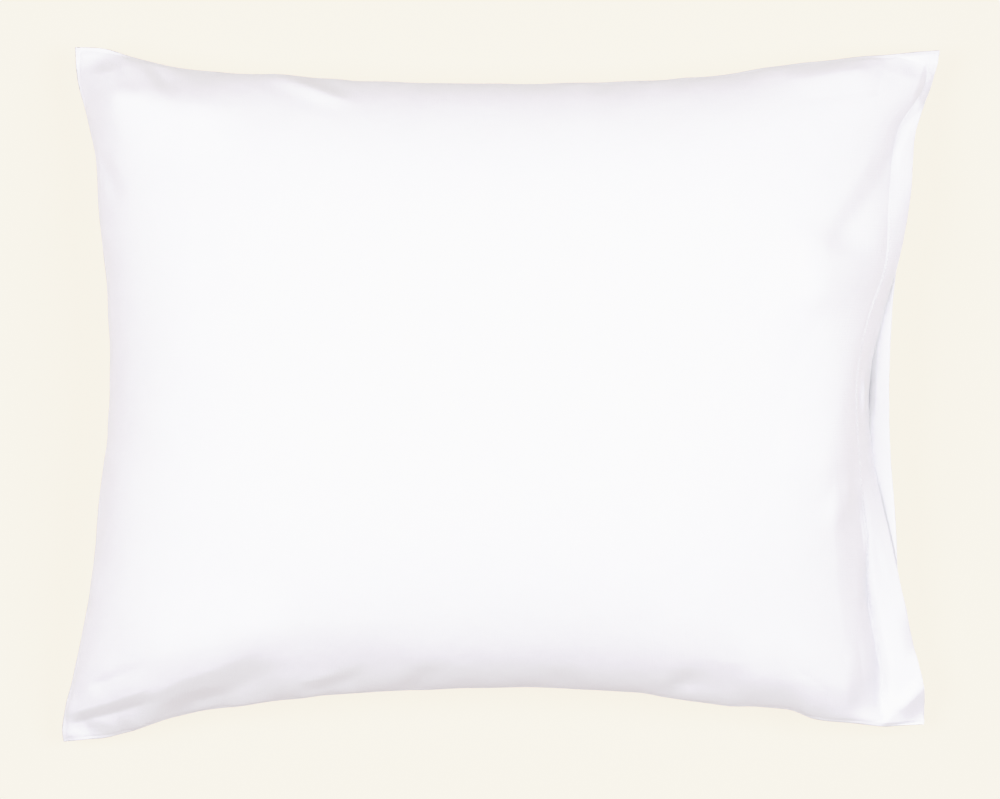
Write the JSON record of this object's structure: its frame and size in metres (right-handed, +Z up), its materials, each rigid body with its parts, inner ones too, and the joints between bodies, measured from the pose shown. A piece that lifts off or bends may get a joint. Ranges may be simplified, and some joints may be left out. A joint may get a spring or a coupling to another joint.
{
  "type": "pillowcase",
  "caption": "Plain white pillowcase lying filled on its back, crowned over the pillow inside, with drawn-in seams, flat corners and an open hemmed end.",
  "frame": {"origin": "under the middle of the filled case's box, on the surface that it lies on", "axes": "+X along the case towards its open end, +Y across it, +Z up, out of its front"},
  "size_m": [0.605, 0.4792, 0.15],
  "materials": {
    "white_cotton": "matte plain-woven white cotton, softly creased"
  },
  "bodies": {
    "root": {"filled_case": "white_cotton"}
  },
  "joints": []
}
